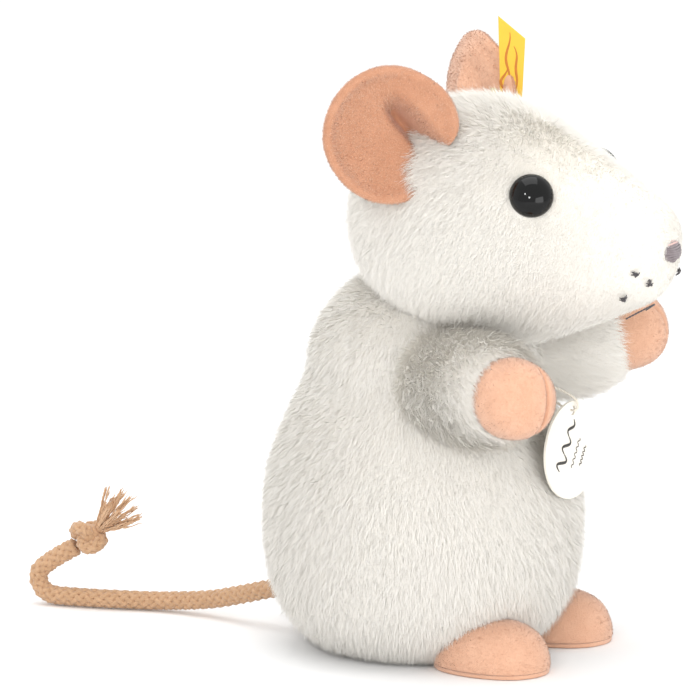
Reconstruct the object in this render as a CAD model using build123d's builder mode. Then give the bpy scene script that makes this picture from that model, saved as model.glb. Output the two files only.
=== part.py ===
"""Soft toy mouse sitting upright, in millimetres.

+X is the way the nose points, +Y is the mouse's left and +Z is up. The origin is on the
ground under the middle of the body. Sewn covers are thin shells and what fills them is a
solid of its own. The pile of the fur stands outside these solids.
"""

from build123d import *
from math import cos, hypot, pi, radians, sin, sqrt, tan
import os

os.makedirs("parts", exist_ok=True)

SIDES = {"left": 1, "right": -1}

# Cloth and the free space between pieces
CLOTH = 1.2             # backing of the fur and velour
GAP = 0.35              # between pieces that move against each other
SEAM = 0.05             # between pieces that are sewn to each other

# Body, turned about an upright axis, with a dome on top that the head sits on
BODY_X = -1.0
BODY_OUTLINE = [         # height, radius
    (1.6, 22.0), (7.0, 29.5), (15.0, 34.0), (25.0, 36.0), (35.0, 36.2), (45.0, 34.8),
    (55.0, 31.4), (65.5, 26.8),
]
NECK = (BODY_X, 0.0, BODY_OUTLINE[-1][0])
NECK_RADIUS = BODY_OUTLINE[-1][1]
LINING = 0.8            # cloth that closes the head's neck opening
LINING_LOW = 89.0       # height of the lining's edge
BASE_THICKNESS = 1.5
PELLETS = (18.0, 3.2, 13.0)   # radius, bottom and top of the bag of pellets

# Head, turned about an axis from its back to the nose
HEAD_BACK = (-16.0, 0.0, 107.0)
HEAD_PITCH = 5.5        # degrees that the nose points below level
HEAD_OUTLINE = [         # distance from the back, radius
    (0.0, 0.0), (2.5, 11.0), (8.0, 19.0), (17.0, 25.6), (28.0, 28.2), (39.0, 27.4),
    (50.0, 24.2), (60.0, 19.8), (70.0, 14.6), (75.0, 11.5), (77.4, 8.2), (78.4, 0.0),
]
GUSSET_HALF = 9.0       # half-width of the strip along the top of the head

# Face
EYE = (35.1, 20.1, 114.2)      # back of the left eye, on the cover
EYE_LOOK = (0.42, 0.80, 0.43)  # the way the left eye faces
EYE_RADIUS = 5.2
EYE_EDGE = 1.6          # height of the eye's rim
EYE_BULGE = 3.2         # height of its dome above the rim
SHANK_RADIUS = 1.2
SHANK_LENGTH = 5.0
WASHER_RADIUS = 4.2
WASHER_DEPTH = 2.2      # from the back of the eye to the washer
WASHER_THICKNESS = 0.9
THREAD = 0.5            # height of the stitches above the cover
NOSE = (61.8, 0.0, 100.4)
NOSE_RADII = (1.6, 4.2, 2.6)
WHISKER_SPOTS = [(58.0, 11.7, 96.3), (54.7, 10.7, 90.4), (60.2, 8.2, 93.9)]
SPOT_RADIUS = 0.9
MOUTH = [(53.4, -5.2, 85.6), (57.4, 0.0, 87.5), (53.4, 5.2, 85.6)]

# Ears, two layers of a cupped disc each
EAR = (2.0, 27.5, 128.0)
EAR_TURN = 45.0         # degrees that the opening turns from the front to the side
EAR_RADIUS = 15.4
EAR_CUP = 24.0          # inner radius of the cup
EAR_LAYER = 1.5
EAR_CLEAR = 1.2         # between the ear's edge and the head, which the seam bridges
BUTTON_PLACE = (-12.0, 2.0)    # across and up from the middle of the left ear
BUTTON_RADIUS = 2.4
BUTTON_THICKNESS = 0.9
FLAG_PLACE = (13.0, 19.0, 0.0)
FLAG_TURN = 33.5        # degrees that the ribbon's width turns from +X to +Y
FLAG_OUTLINE = [
    (-2.9, 149.8), (3.6, 144.2), (2.9, 130.2), (-0.4, 127.8), (-2.6, 128.2), (-2.4, 131.2), (0.2, 132.4),
]
FLAG_THICKNESS = 0.8

# Arms, turned about a level axis from the shoulder
SHOULDER = (14.0, 21.0, 69.0)
ARM_TURN = 31.0         # degrees that an arm points out to its side
ARM_RISE = {1: 9.0, -1: 0.0}   # degrees that the left and the right arm are held up
SOCKET_RADIUS = 11.0
SLEEVE_OUTLINE = [       # distance from the shoulder, radius
    (-3.0, 8.2), (0.0, 9.2), (3.5, 8.8), (7.0, 9.6), (10.0, 11.0), (14.0, 11.8), (19.0, 11.2), (22.5, 9.0),
]
PAW_OUTLINE = [(22.6, 8.8), (26.5, 9.4), (31.5, 8.6), (35.1, 5.6), (36.5, 0.0)]

# Feet, turned about a level axis and cut flat underneath
FOOT_HEEL = (10.0, 17.0, 2.0)
FOOT_TOE_OUT = 6.0      # degrees
FOOT_OUTLINE = [          # distance from the heel, radius
    (0.0, 0.0), (1.5, 4.5), (6.0, 8.5), (13.0, 10.4), (20.0, 10.2), (25.5, 7.8), (28.2, 4.0), (29.0, 0.0),
]
SOLE = 1.2

# Swing tag on a thread loop
TAG = (38.0, -2.0, 51.0)
TAG_TURN = -10.0
TAG_RADIUS = 11.7
TAG_THICKNESS = 0.6
TAG_HOLE_RADIUS = 1.1
TAG_HOLE_UP = 9.4
THREAD_RADIUS = 0.35
THREAD_ROUTE = [
    (26.8, -1.0, 67.2), (33.0, -1.2, 65.6), (39.0, -1.6, 63.4), (39.8, -1.8, 60.6), (36.6, -1.8, 60.2),
    (33.0, -1.4, 62.6), (27.4, -1.0, 65.4),
]

# Tail cord
TAIL_RADIUS = 2.4
TAIL_ROUTE = [
    (-33.4, 0.0, 11.6), (-41.0, 1.9, 9.9), (-50.0, 4.7, 7.0), (-60.0, 7.7, 4.1), (-73.0, 8.8, 2.45),
    (-86.0, 5.6, 2.45), (-95.6, 4.2, 2.45), (-102.0, 3.9, 2.45), (-104.7, 4.2, 5.4), (-104.6, 4.7, 9.3),
    (-95.4, 6.2, 14.5),
]
ANCHOR = (-26.0, 0.0, 13.0)
ANCHOR_RADIUS = 3.6
KNOT = (-92.0, 6.9, 17.0)
KNOT_RADIUS = 4.9
FRINGE_TIP = (-82.8, 7.6, 25.6)
FRINGE_RADII = (1.7, 4.4)


def inset(outline, distance):
    """An outline of (place along the axis, radius) points, moved inwards by distance."""
    moved = []
    for i, (along, radius) in enumerate(outline):
        before = outline[max(i - 1, 0)]
        after = outline[min(i + 1, len(outline) - 1)]
        run, rise = after[0] - before[0], after[1] - before[1]
        length = hypot(run, rise)
        moved.append((along + distance * rise / length, max(radius - distance * run / length, 0.0)))
    return moved


def turned(outline, origin, direction, dome=False):
    """A solid turned from an outline about the line through origin along direction.

    A dome continues the end of the outline as a half sphere.
    """
    side = (0, 1, 0) if abs(direction[2]) > 0.9 else (-direction[1], direction[0], 0)
    plane = Plane(origin=origin, x_dir=direction, z_dir=side)
    (start, start_radius), (end, end_radius) = outline[0], outline[-1]
    with BuildPart() as form:
        with BuildSketch(plane):
            with BuildLine():
                Spline(*outline)
                if dome:
                    half = end_radius * sqrt(0.5)
                    ThreePointArc((end, end_radius), (end + half, half), (end + end_radius, 0))
                    Line((end + end_radius, 0), (start, 0))
                elif end_radius > 0:
                    Line((end, end_radius), (end, 0))
                    Line((end, 0), (start, 0))
                else:
                    Line((end, 0), (start, 0))
                if start_radius > 0:
                    Line((start, 0), (start, start_radius))
            make_face()
        revolve(axis=Axis(origin, direction))
    return form.part


def mirrored(place, side):
    """A place on the mouse's left, or the same place on its right."""
    return (place[0], place[1] * side, place[2])


def body_form(distance):
    """The filled shape of the body, inwards by distance, hollowed at the shoulders and tail."""
    outline = inset(BODY_OUTLINE, distance)
    outline[-1] = (NECK[2], NECK_RADIUS - distance)
    form = turned(outline, (BODY_X, 0, 0), (0, 0, 1), dome=True)
    with BuildPart() as hollowed:
        add(form)
        for side in SIDES.values():
            with Locations(mirrored(SHOULDER, side)):
                Sphere(SOCKET_RADIUS + GAP + distance, mode=Mode.SUBTRACT)
        with Locations(TAIL_ROUTE[0]):
            Sphere(TAIL_RADIUS + GAP + distance, mode=Mode.SUBTRACT)
    return hollowed.part


def head_axis():
    """The direction from the back of the head to the nose."""
    pitch = radians(HEAD_PITCH)
    return (cos(pitch), 0, -sin(pitch))


def head_form(distance):
    """The filled shape of the head, inwards by distance, hollowed below to sit over the neck."""
    form = turned(inset(HEAD_OUTLINE, distance), HEAD_BACK, head_axis())
    with BuildPart() as hollowed:
        add(form)
        with Locations(NECK):
            # Turned so that its poles lie outside the head
            Sphere(NECK_RADIUS + LINING + 2 * GAP + distance, rotation=(90, 0, 0), mode=Mode.SUBTRACT)
    return hollowed.part


def arm_direction(side):
    """The direction from a shoulder to its paw."""
    turn, rise = radians(ARM_TURN), radians(ARM_RISE[side])
    return (cos(turn) * cos(rise), sin(turn) * side * cos(rise), sin(rise))


def ear_plane(side):
    """The plane of an ear's rim, with Z out of its opening and Y up."""
    turn = radians(EAR_TURN)
    return Plane(
        origin=mirrored(EAR, side),
        x_dir=(-sin(turn), cos(turn) * side, 0),
        z_dir=(cos(turn), sin(turn) * side, 0),
    )


def finish(piece, label):
    """Labels a piece and writes it."""
    piece.part.label = label
    export_step(piece.part, f"parts/{label}.step")


# Body: two sewn sides, a base panel, the filling and the bag of pellets
body_outer = body_form(0)
body_inner = body_form(CLOTH)

for name, side in SIDES.items():
    with BuildPart() as body_side:
        add(body_outer)
        add(body_inner, mode=Mode.SUBTRACT)
        with Locations((0, side * (100 + SEAM / 2), 50)):
            Box(200, 200, 200, mode=Mode.INTERSECT)
    finish(body_side, f"body_side_{name}")

with BuildPart() as base_panel:
    with BuildSketch(Plane.XY):
        with Locations((BODY_X, 0)):
            Circle(BODY_OUTLINE[0][1])
    extrude(amount=BASE_THICKNESS)
finish(base_panel, "base_panel")

pellet_radius, pellet_low, pellet_top = PELLETS
with BuildPart() as pellet_bag:
    with BuildSketch(Plane.XY.offset(pellet_low)):
        with Locations((BODY_X, 0)):
            Circle(pellet_radius)
    extrude(amount=pellet_top - pellet_low)
    fillet(pellet_bag.edges(), radius=(pellet_top - pellet_low) * 0.45)
finish(pellet_bag, "pellet_bag")

with BuildPart() as tail_anchor:
    with Locations(ANCHOR):
        Sphere(ANCHOR_RADIUS)
finish(tail_anchor, "tail_anchor")

body_core = body_form(CLOTH + SEAM)
with BuildPart() as body_stuffing:
    add(body_core)
    with BuildSketch(Plane.XY):
        with Locations((BODY_X, 0)):
            Circle(pellet_radius + SEAM)
    extrude(amount=pellet_top + SEAM, mode=Mode.SUBTRACT)
    with Locations(ANCHOR):
        Sphere(ANCHOR_RADIUS + SEAM, mode=Mode.SUBTRACT)
finish(body_stuffing, "body_stuffing")

# Neck lining, a cap of cloth between the body's dome and the head
with BuildPart() as neck_lining:
    with Locations(NECK):
        Sphere(NECK_RADIUS + GAP + LINING)
        Sphere(NECK_RADIUS + GAP, mode=Mode.SUBTRACT)
    with Locations((0, 0, LINING_LOW + 50)):
        Box(100, 100, 100, mode=Mode.INTERSECT)
finish(neck_lining, "neck_lining")

# Head: two sewn sides, the gusset between them and the filling
head_outer = head_form(0)
head_inner = head_form(CLOTH)
head_frame = Plane(origin=HEAD_BACK, x_dir=head_axis(), z_dir=(0, -1, 0))
eye_planes = {
    name: Plane(
        origin=mirrored(EYE, side),
        x_dir=(0, 0, 1),
        z_dir=mirrored(EYE_LOOK, side),
    )
    for name, side in SIDES.items()
}

with BuildPart() as gusset_zone:
    with BuildSketch(head_frame):
        with Locations((45, 40)):
            Rectangle(140, 80)
    extrude(amount=GUSSET_HALF, both=True)

with BuildPart() as head_gusset:
    add(head_outer)
    add(head_inner, mode=Mode.SUBTRACT)
    add(gusset_zone.part, mode=Mode.INTERSECT)
finish(head_gusset, "head_gusset")

with BuildPart() as gusset_clear:
    with BuildSketch(head_frame):
        with Locations((45, 40 - SEAM)):
            Rectangle(140, 80)
    extrude(amount=GUSSET_HALF + SEAM, both=True)

for name, side in SIDES.items():
    with BuildPart() as head_side:
        add(head_outer)
        add(head_inner, mode=Mode.SUBTRACT)
        add(gusset_clear.part, mode=Mode.SUBTRACT)
        with Locations((0, side * (100 + SEAM / 2), 100)):
            Box(300, 200, 200, mode=Mode.INTERSECT)
    finish(head_side, f"head_side_{name}")

head_core = head_form(CLOTH + SEAM)
for name, side in SIDES.items():
    with BuildPart() as head_stuffing:
        add(head_core)
        with Locations((0, side * (100 + SEAM / 2), 100)):
            Box(300, 200, 200, mode=Mode.INTERSECT)
    finish(head_stuffing, f"head_stuffing_{name}")

# Safety eyes: a domed front with a shank, and a washer pushed onto the shank inside the head
dome_radius = (EYE_RADIUS**2 + EYE_BULGE**2) / (2 * EYE_BULGE)
for name, plane in eye_planes.items():
    with BuildPart() as eye:
        with BuildSketch(plane.offset(SEAM)):
            Circle(EYE_RADIUS)
        extrude(amount=EYE_EDGE + EYE_BULGE)
        with Locations(plane.offset(EYE_EDGE + EYE_BULGE - dome_radius)):
            Sphere(dome_radius, mode=Mode.INTERSECT)
        with BuildSketch(plane.offset(-SHANK_LENGTH)):
            Circle(SHANK_RADIUS)
        extrude(amount=SHANK_LENGTH + EYE_EDGE)
    finish(eye, f"eye_{name}")
    with BuildPart() as eye_washer:
        with BuildSketch(plane.offset(-WASHER_DEPTH - WASHER_THICKNESS)):
            Circle(WASHER_RADIUS)
            Circle(SHANK_RADIUS + SEAM, mode=Mode.SUBTRACT)
        extrude(amount=WASHER_THICKNESS)
    finish(eye_washer, f"eye_washer_{name}")

# Stitched face: nose, mouth and the whisker spots
head_clear = turned(inset(HEAD_OUTLINE, -SEAM), HEAD_BACK, head_axis())
with BuildPart() as nose_form:
    Sphere(1)
nose_ball = scale(nose_form.part, by=NOSE_RADII, mode=Mode.PRIVATE)
with BuildPart() as nose_stitches:
    add(nose_ball.moved(Location(NOSE)))
    add(head_clear, mode=Mode.SUBTRACT)
finish(nose_stitches, "nose_stitches")

with BuildPart() as mouth_stitches:
    with BuildLine() as mouth_line:
        ThreePointArc(*MOUTH)
    with BuildSketch(Plane(origin=mouth_line.line @ 0, z_dir=mouth_line.line % 0)):
        Circle(THREAD)
    sweep()
    add(head_clear, mode=Mode.SUBTRACT)
finish(mouth_stitches, "mouth_stitches")

with BuildPart() as whisker_spots:
    for spot in WHISKER_SPOTS:
        for side in SIDES.values():
            with Locations(mirrored(spot, side)):
                Sphere(SPOT_RADIUS)
    add(head_clear, mode=Mode.SUBTRACT)
finish(whisker_spots, "whisker_spots")

# Ears: a lining and a back, cut away where they meet the head
ear_clear = turned(inset(HEAD_OUTLINE, -EAR_CLEAR), HEAD_BACK, head_axis())
rim_depth = sqrt(EAR_CUP**2 - EAR_RADIUS**2)
ear_layers = {"lining": EAR_CUP, "back": EAR_CUP + EAR_LAYER + SEAM}
for name, side in SIDES.items():
    for layer, radius in ear_layers.items():
        with BuildPart() as ear_layer:
            with BuildSketch(ear_plane(side).offset(-EAR_CUP)):
                Circle(EAR_RADIUS)
            extrude(amount=EAR_CUP)
            with Locations(ear_plane(side).offset(rim_depth)):
                Sphere(radius + EAR_LAYER, mode=Mode.INTERSECT)
                Sphere(radius, mode=Mode.SUBTRACT)
            add(ear_clear, mode=Mode.SUBTRACT)
        finish(ear_layer, f"ear_{layer}_{name}")

# Button and ribbon on the left ear
across, up = BUTTON_PLACE
button_low = rim_depth - sqrt(EAR_CUP**2 - hypot(across, up)**2) + 2 * SEAM
with BuildPart() as ear_button:
    with BuildSketch(ear_plane(1).offset(button_low)):
        with Locations(BUTTON_PLACE):
            Circle(BUTTON_RADIUS)
    extrude(amount=BUTTON_THICKNESS)
    with Locations(ear_plane(1).offset(rim_depth)):
        Sphere(EAR_CUP - SEAM, mode=Mode.INTERSECT)
finish(ear_button, "ear_button")

flag_turn = radians(FLAG_TURN)
flag_plane = Plane(
    origin=FLAG_PLACE,
    x_dir=(cos(flag_turn), sin(flag_turn), 0),
    z_dir=(sin(flag_turn), -cos(flag_turn), 0),
)
with BuildPart() as ear_flag:
    with BuildSketch(flag_plane):
        with BuildLine():
            Polyline(*FLAG_OUTLINE, close=True)
        make_face()
    extrude(amount=FLAG_THICKNESS / 2, both=True)
finish(ear_flag, "ear_flag")

# Arms: a furry sleeve, a smooth paw and the filling inside both
for name, side in SIDES.items():
    shoulder = mirrored(SHOULDER, side)
    direction = arm_direction(side)
    for label, outline in (("sleeve", SLEEVE_OUTLINE), ("paw", PAW_OUTLINE)):
        outer = turned(outline, shoulder, direction)
        inner = turned(inset(outline, CLOTH), shoulder, direction)
        with BuildPart() as cover:
            add(outer)
            add(inner, mode=Mode.SUBTRACT)
        finish(cover, f"{label}_{name}")
        filling = turned(inset(outline, CLOTH + SEAM), shoulder, direction)
        with BuildPart() as stuffing:
            add(filling)
        finish(stuffing, f"{label}_stuffing_{name}")

# Feet: a smooth upper, a flat sole and the filling between them
body_zone = turned(inset(BODY_OUTLINE, -SEAM), (BODY_X, 0, 0), (0, 0, 1), dome=True)


def foot_turned(distance):
    """The left foot's round shape, inwards by distance."""
    toe_out = radians(FOOT_TOE_OUT)
    return turned(inset(FOOT_OUTLINE, distance), FOOT_HEEL, (cos(toe_out), sin(toe_out), 0))


def foot_form(distance, low, high):
    """The left foot's filled shape between two heights, inwards by distance, clear of the body."""
    form = foot_turned(distance)
    with BuildPart() as trimmed:
        add(form)
        with Locations((0, 0, (low + high) / 2)):
            Box(200, 200, high - low, mode=Mode.INTERSECT)
        add(body_zone, mode=Mode.SUBTRACT)
        with Locations((BODY_X, 0, 0)):
            Cylinder(BODY_OUTLINE[0][1] + SEAM, 2 * BODY_OUTLINE[0][0] + 2 * SEAM, mode=Mode.SUBTRACT)
    return trimmed.part


foot_upper = foot_form(0, SOLE + SEAM, 40)
foot_hollow = foot_turned(CLOTH)
foot_filling = foot_form(CLOTH + SEAM, SOLE + SEAM, 40)
foot_flat = foot_form(0, 0, SOLE)
for name, side in SIDES.items():
    with BuildPart() as foot:
        add(foot_upper)
        add(foot_hollow, mode=Mode.SUBTRACT)
        if side < 0:
            mirror(about=Plane.XZ, mode=Mode.REPLACE)
    finish(foot, f"foot_{name}")
    with BuildPart() as foot_stuffing:
        add(foot_filling)
        if side < 0:
            mirror(about=Plane.XZ, mode=Mode.REPLACE)
    finish(foot_stuffing, f"foot_stuffing_{name}")
    with BuildPart() as foot_sole:
        add(foot_flat)
        if side < 0:
            mirror(about=Plane.XZ, mode=Mode.REPLACE)
    finish(foot_sole, f"foot_sole_{name}")

# Swing tag: a card disc and the thread loop that it hangs on
tag_turn = radians(TAG_TURN)
tag_plane = Plane(
    origin=TAG,
    x_dir=(-sin(tag_turn), cos(tag_turn), 0),
    z_dir=(cos(tag_turn), sin(tag_turn), 0),
)
with BuildPart() as tag_card:
    with BuildSketch(tag_plane):
        Circle(TAG_RADIUS)
        with Locations((0, TAG_HOLE_UP)):
            Circle(TAG_HOLE_RADIUS, mode=Mode.SUBTRACT)
    extrude(amount=TAG_THICKNESS / 2, both=True)
finish(tag_card, "tag_card")


def tube(route, radius):
    """A tube along a route of straight runs joined by the largest arcs that they allow."""
    radii = []
    for before, corner, after in zip(route, route[1:], route[2:]):
        first, second = Vector(*corner) - Vector(*before), Vector(*after) - Vector(*corner)
        turn = radians(first.get_angle(second))
        radii.append(0.45 * min(first.length, second.length) / tan(turn / 2))
    with BuildPart() as piece:
        with BuildLine() as path:
            FilletPolyline(*route, radius=radii)
        with BuildSketch(Plane(origin=path.line @ 0, z_dir=path.line % 0)):
            Circle(radius)
        sweep()
    length = path.wire().length
    print("radii", [round(r, 1) for r in radii], "length", round(length, 1))
    print("volume over section times length", round(piece.part.volume / (pi * radius**2 * length), 4))
    return piece.part


thread = tube(THREAD_ROUTE, THREAD_RADIUS)
with BuildPart() as tag_thread:
    add(thread)
finish(tag_thread, "tag_thread")

# Tail: a braided cord that leaves the body, the knot near its end and the frayed yarns
cord = tube(TAIL_ROUTE, TAIL_RADIUS)
with BuildPart() as tail_cord:
    add(cord)
    with Locations(TAIL_ROUTE[0]):
        Sphere(TAIL_RADIUS)
    with Locations(KNOT):
        Sphere(KNOT_RADIUS, mode=Mode.SUBTRACT)
finish(tail_cord, "tail_cord")

with BuildPart() as tail_knot:
    with Locations(KNOT):
        Sphere(KNOT_RADIUS)
finish(tail_knot, "tail_knot")

fringe_run = Vector(*FRINGE_TIP) - Vector(*KNOT)
fringe_root, fringe_end = FRINGE_RADII
with BuildPart() as tail_fringe:
    with BuildSketch(Plane(origin=KNOT, z_dir=fringe_run)):
        Circle(fringe_root)
    with BuildSketch(Plane(origin=FRINGE_TIP, z_dir=fringe_run)):
        Circle(fringe_end)
    loft()
    with Locations(KNOT):
        Sphere(KNOT_RADIUS, mode=Mode.SUBTRACT)
finish(tail_fringe, "tail_fringe")
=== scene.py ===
"""Sitting plush mouse: the looks of every piece around its fixed frame, in metres."""

import logging
import math
from collections.abc import Callable, Iterable, Sequence
from dataclasses import dataclass
from enum import Enum

import bmesh
import bpy
import numpy as np
from mathutils import Matrix, Vector


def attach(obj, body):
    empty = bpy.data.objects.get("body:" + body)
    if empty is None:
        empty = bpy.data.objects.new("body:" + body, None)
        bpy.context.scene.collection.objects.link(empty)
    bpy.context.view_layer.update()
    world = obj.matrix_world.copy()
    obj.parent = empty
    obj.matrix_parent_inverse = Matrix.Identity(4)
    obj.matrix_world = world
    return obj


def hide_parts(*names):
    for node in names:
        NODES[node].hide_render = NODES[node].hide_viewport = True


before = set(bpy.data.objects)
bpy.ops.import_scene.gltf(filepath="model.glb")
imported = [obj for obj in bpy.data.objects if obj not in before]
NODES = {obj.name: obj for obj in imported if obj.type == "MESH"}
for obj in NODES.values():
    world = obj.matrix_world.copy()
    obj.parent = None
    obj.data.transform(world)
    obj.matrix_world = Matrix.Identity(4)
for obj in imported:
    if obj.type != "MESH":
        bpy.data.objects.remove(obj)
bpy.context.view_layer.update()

log = logging.getLogger("mouse")
MM = 0.001
FLOOR_CLEAR = 0.0002
SIDES = {"left": 1.0, "right": -1.0}
Colour = tuple[float, float, float]
Point = tuple[float, float, float]
Outline = Sequence[tuple[float, float]]


# ---------------------------------------------------------------- shader groups


def group_shell(name: str, inputs: dict[str, float], outputs: dict[str, str]) -> tuple:
    """Make an empty shader node group.

    Args:
        name: name of the group.
        inputs: number inputs and their usual values.
        outputs: outputs and their socket types.

    Returns:
        The group, its input node and its output node.
    """
    tree = bpy.data.node_groups.new(name, "ShaderNodeTree")
    for label, value in inputs.items():
        socket = tree.interface.new_socket(label, in_out="INPUT", socket_type="NodeSocketFloat")
        socket.default_value = value
    for label, kind in outputs.items():
        tree.interface.new_socket(label, in_out="OUTPUT", socket_type=kind)
    return tree, tree.nodes.new("NodeGroupInput"), tree.nodes.new("NodeGroupOutput")


def mottle_group() -> bpy.types.NodeTree:
    """Build the group that gives soft cloudy mottling and a fine pile height.

    Returns:
        The node group, with outputs Mask and Height.
    """
    tree, inp, out = group_shell(
        "cloth_mottle",
        {"Cloud Scale": 60.0, "Pile Scale": 2500.0},
        {"Mask": "NodeSocketFloat", "Height": "NodeSocketFloat"},
    )
    place = tree.nodes.new("ShaderNodeTexCoord")
    cloud = tree.nodes.new("ShaderNodeTexNoise")
    cloud.inputs["Detail"].default_value = 3.0
    pile = tree.nodes.new("ShaderNodeTexNoise")
    pile.inputs["Detail"].default_value = 2.0
    for node, label in ((cloud, "Cloud Scale"), (pile, "Pile Scale")):
        tree.links.new(place.outputs["Object"], node.inputs["Vector"])
        tree.links.new(inp.outputs[label], node.inputs["Scale"])
    tree.links.new(cloud.outputs["Fac"], out.inputs["Mask"])
    tree.links.new(pile.outputs["Fac"], out.inputs["Height"])
    return tree


def weave_group() -> bpy.types.NodeTree:
    """Build the group that gives a plain weave's height from the piece's own UV map.

    Returns:
        The node group, with outputs Mask and Height.
    """
    tree, inp, out = group_shell(
        "plain_weave",
        {"Threads": 60.0},
        {"Mask": "NodeSocketFloat", "Height": "NodeSocketFloat"},
    )
    place = tree.nodes.new("ShaderNodeTexCoord")
    split = tree.nodes.new("ShaderNodeSeparateXYZ")
    tree.links.new(place.outputs["UV"], split.inputs[0])
    waves = []
    for axis in ("X", "Y"):
        scaled = tree.nodes.new("ShaderNodeMath")
        scaled.operation = "MULTIPLY"
        wave = tree.nodes.new("ShaderNodeMath")
        wave.operation = "SINE"
        tree.links.new(split.outputs[axis], scaled.inputs[0])
        tree.links.new(inp.outputs["Threads"], scaled.inputs[1])
        tree.links.new(scaled.outputs[0], wave.inputs[0])
        waves.append(wave)
    cross = tree.nodes.new("ShaderNodeMath")
    cross.operation = "MULTIPLY"
    for i, wave in enumerate(waves):
        tree.links.new(wave.outputs[0], cross.inputs[i])
    spread = tree.nodes.new("ShaderNodeMapRange")
    spread.inputs["From Min"].default_value = -1.0
    tree.links.new(cross.outputs[0], spread.inputs["Value"])
    tree.links.new(spread.outputs[0], out.inputs["Mask"])
    tree.links.new(spread.outputs[0], out.inputs["Height"])
    return tree


MOTTLE = mottle_group()
WEAVE = weave_group()


# ---------------------------------------------------------------- finishes


def principled(material: bpy.types.Material) -> bpy.types.ShaderNodeBsdfPrincipled:
    """Return the material's shader."""
    return material.node_tree.nodes["Principled BSDF"]


def new_material(name: str, values: dict[str, object]) -> bpy.types.Material:
    """Make a material and set constant values on its shader.

    Args:
        name: the material's name.
        values: shader socket names and values.

    Returns:
        The material.
    """
    material = bpy.data.materials.new(name)
    material.use_nodes = True
    shader = principled(material)
    for label, value in values.items():
        shader.inputs[label].default_value = value
    return material


class Grain(Enum):
    """What gives a cloth its mottling and its height."""

    CLOUDS = "cloth_mottle"
    WEAVE = "plain_weave"


@dataclass(frozen=True)
class StrandFinish:
    """Finish of loose fibres, in a few tints so that no two neighbours are alike."""

    name: str
    tints: tuple[Colour, ...]
    roughness: float = 0.75
    sheen: float = 0.25
    scatter: float = 0.0

    def build(self) -> list[bpy.types.Material]:
        """Make one material for each tint.

        Returns:
            The materials, in the order of the tints.
        """
        made = []
        for i, tint in enumerate(self.tints):
            values = {
                "Base Color": (*tint, 1.0),
                "Roughness": self.roughness,
                "Sheen Weight": self.sheen,
                "Sheen Roughness": 0.5,
                "Specular IOR Level": 0.2,
            }
            if self.scatter:
                values["Subsurface Weight"] = self.scatter
                values["Subsurface Radius"] = (0.002, 0.0017, 0.0014)
                values["Subsurface Scale"] = 1.0
            made.append(new_material(f"{self.name}_{i + 1}", values))
        return made


@dataclass(frozen=True)
class MottledFinish:
    """Finish of cloth, filling or card: two colours mixed in clouds, with a fine grain."""

    name: str
    low: Colour
    high: Colour
    roughness: float = 0.85
    sheen: float = 0.3
    cloud_scale: float = 60.0
    pile_scale: float = 2500.0
    bump: float = 0.0003
    coat: float = 0.0
    specular: float = 0.5
    metallic: float = 0.0
    grain: Grain = Grain.CLOUDS

    def build(self) -> bpy.types.Material:
        """Make the material.

        Returns:
            The material.
        """
        material = new_material(
            self.name,
            {
                "Roughness": self.roughness,
                "Sheen Weight": self.sheen,
                "Specular IOR Level": self.specular,
                "Coat Weight": self.coat,
                "Coat Roughness": 0.03,
                "Metallic": self.metallic,
            },
        )
        nodes, links = material.node_tree.nodes, material.node_tree.links
        shader = principled(material)
        effect = nodes.new("ShaderNodeGroup")
        if self.grain is Grain.WEAVE:
            effect.node_tree = WEAVE
            effect.inputs["Threads"].default_value = self.pile_scale
        else:
            effect.node_tree = MOTTLE
            effect.inputs["Cloud Scale"].default_value = self.cloud_scale
            effect.inputs["Pile Scale"].default_value = self.pile_scale
        ramp = nodes.new("ShaderNodeMix")
        ramp.data_type = "RGBA"
        ramp.inputs["A"].default_value = (*self.low, 1.0)
        ramp.inputs["B"].default_value = (*self.high, 1.0)
        bump = nodes.new("ShaderNodeBump")
        bump.inputs["Strength"].default_value = 0.6
        bump.inputs["Distance"].default_value = self.bump
        links.new(effect.outputs["Mask"], ramp.inputs["Factor"])
        links.new(ramp.outputs["Result"], shader.inputs["Base Color"])
        links.new(effect.outputs["Height"], bump.inputs["Height"])
        links.new(bump.outputs["Normal"], shader.inputs["Normal"])
        return material


FUR = StrandFinish(
    "fur_fibre",
    ((0.97, 0.94, 0.88), (0.96, 0.925, 0.86), (0.98, 0.955, 0.905)),
    roughness=0.7,
    sheen=0.15,
)
VELOUR = StrandFinish(
    "velour_fibre",
    ((0.77, 0.475, 0.325), (0.70, 0.40, 0.265), (0.83, 0.54, 0.385)),
    roughness=0.85,
    sheen=0.4,
)
FUR_SKIN = MottledFinish("fur_backing", (0.90, 0.86, 0.79), (0.94, 0.91, 0.85))
VELOUR_SKIN = MottledFinish("velour_cloth", (0.66, 0.36, 0.23), (0.78, 0.47, 0.32), cloud_scale=220.0)
# Ear lining, darker than the velour pile; left bare in the ear's crease, it shows there as painted shade.
EAR_LINING_CREASE_SHADE = MottledFinish("ear_lining_crease_shade", (0.48, 0.22, 0.12), (0.60, 0.30, 0.18), cloud_scale=220.0)
VELOUR_SKIN_PALE = MottledFinish("base_fabric", (0.74, 0.68, 0.58), (0.84, 0.79, 0.70))
LINING = MottledFinish("lining_cotton", (0.76, 0.73, 0.66), (0.86, 0.84, 0.78), pile_scale=1400.0)
FILLING = MottledFinish("polyester_fibre", (0.82, 0.82, 0.80), (0.93, 0.93, 0.92), pile_scale=900.0)
PELLETS = MottledFinish("pellet_cotton", (0.70, 0.68, 0.62), (0.84, 0.82, 0.76), pile_scale=700.0)
EYE_GLOSS = MottledFinish(
    "eye_black", (0.002, 0.002, 0.002), (0.004, 0.004, 0.004), roughness=0.06, sheen=0.0,
    cloud_scale=150.0, bump=0.000002, coat=0.0, specular=0.28,
)
WASHER = MottledFinish("washer_plastic", (0.70, 0.70, 0.66), (0.80, 0.80, 0.77), roughness=0.4, sheen=0.0)
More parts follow.
